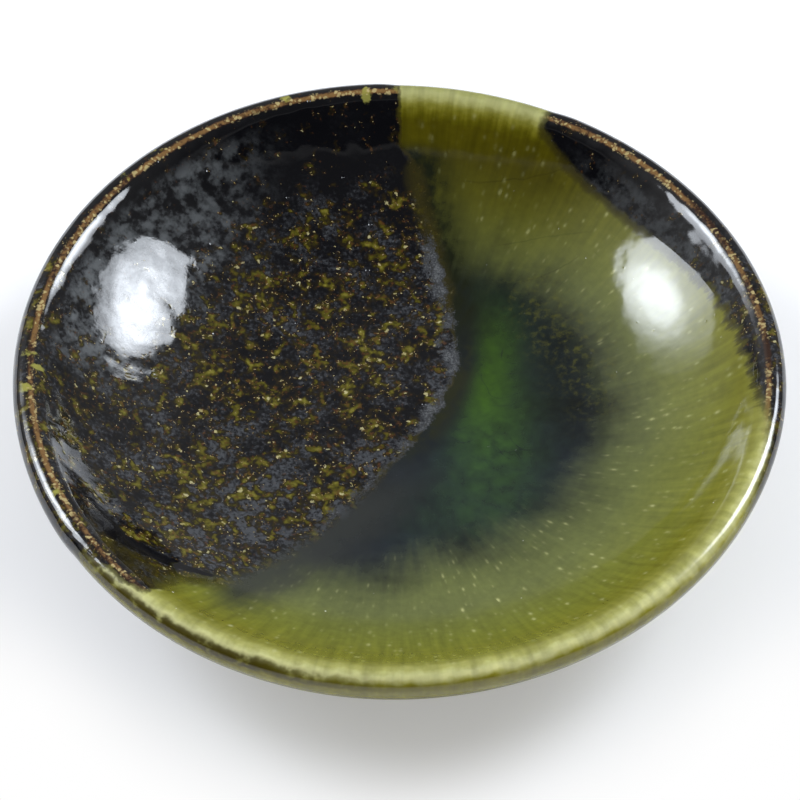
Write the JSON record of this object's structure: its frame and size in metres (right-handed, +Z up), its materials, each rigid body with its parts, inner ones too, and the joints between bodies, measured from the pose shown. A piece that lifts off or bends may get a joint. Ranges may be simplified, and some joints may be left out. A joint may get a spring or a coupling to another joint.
{
  "type": "dish",
  "caption": "Small round stoneware dish on a turned foot ring, olive glazed, with black glaze poured over its sides and green glass pooled in its well.",
  "frame": {"origin": "on the table, under the middle of the dish", "axes": "+Z up out of the well; the front of the dish faces -Y and its right side is +X"},
  "size_m": [0.0962, 0.0961, 0.0221],
  "materials": {
    "bare_stoneware": "unglazed fired stoneware, matte and slightly gritty",
    "olive_glaze": "glossy olive ash glaze with pale specks, pale where it draws thin over the lip",
    "black_glaze": "glossy iron-black glaze mottled with olive and ochre, rusty brown over the lip",
    "green_glass": "thick glossy green glass, near black towards its edge"
  },
  "bodies": {
    "root": {"clay_body": "bare_stoneware", "olive_glaze_coat": "olive_glaze", "black_glaze_pour_left": "black_glaze", "black_glaze_pour_right": "black_glaze", "green_glaze_pool": "green_glass"}
  },
  "joints": []
}
